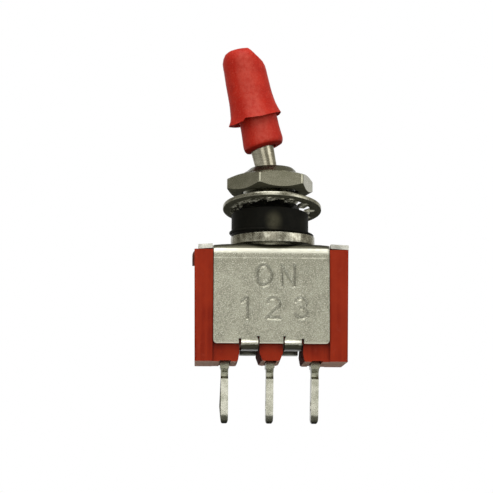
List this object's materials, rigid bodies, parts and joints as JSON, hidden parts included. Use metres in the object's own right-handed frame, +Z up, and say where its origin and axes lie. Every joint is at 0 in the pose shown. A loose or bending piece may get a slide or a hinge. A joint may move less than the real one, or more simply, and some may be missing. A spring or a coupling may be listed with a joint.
{
  "type": "miniature toggle switch",
  "caption": "Miniature panel toggle switch: red moulded body in a bent steel frame, threaded bushing with hex nut, tilted bat lever with a red cap, solder lugs.",
  "frame": {"origin": "on the bushing's axis at the top face of the steel frame, where a panel would lie", "axes": "+Z up the bushing towards the lever, +X along the row of solder lugs, -Y the front"},
  "size_m": [0.0164, 0.0104, 0.04],
  "materials": {
    "housing": "satin moulded",
    "frame": "satin, dulled tin plate",
    "bushing": "satin nickel plate",
    "nut": "satin nickel plate",
    "washer": "satin nickel plate",
    "ring": "satin",
    "sleeve": "matt",
    "lever": "satin nickel plate",
    "pin": "ground",
    "cap": "soft gloss",
    "plunger": "natural nylon",
    "spring": "drawn wire",
    "rocker": "silver plate",
    "terminals": "silver plate",
    "contacts": "silver"
  },
  "bodies": {
    "switch_body": {"housing": "housing", "frame": "frame", "bushing": "bushing", "common_terminal": "terminals", "left_terminal": "terminals", "right_terminal": "terminals", "left_fixed_contact": "contacts", "right_fixed_contact": "contacts", "bushing_ring": "ring", "rubber_sleeve": "sleeve", "lock_washer": "washer", "hex_nut": "nut"},
    "lever": {"lever": "lever", "lever_cap": "cap", "pivot_pin": "pin", "plunger_spring": "spring"},
    "plunger": {"plunger": "plunger"},
    "rocker": {"rocker": "rocker", "left_moving_contact": "contacts", "right_moving_contact": "contacts"}
  },
  "joints": [
    {"name": "lever_tilt", "type": "hinge", "parent": "switch_body", "child": "lever", "pos_m": [0, 0, 0.0069], "axis": [0, 1, 0], "range_deg": [0, 24.6]},
    {"name": "plunger_slide", "type": "slide", "parent": "lever", "child": "plunger", "axis": [-0.213, 0, 0.977], "range_m": [0, 0.0006], "stiffness_N_per_m": 800, "springref_m": -0.001, "deforming": ["plunger_spring"]},
    {"name": "rocker_tilt", "type": "hinge", "parent": "switch_body", "child": "rocker", "pos_m": [0, 0, -0.0049], "axis": [0, 1, 0], "range_deg": [-12, 0]}
  ],
  "couplings": [
    {"joint": "rocker_tilt", "follows": "lever_tilt", "ratio": -0.4878}
  ]
}
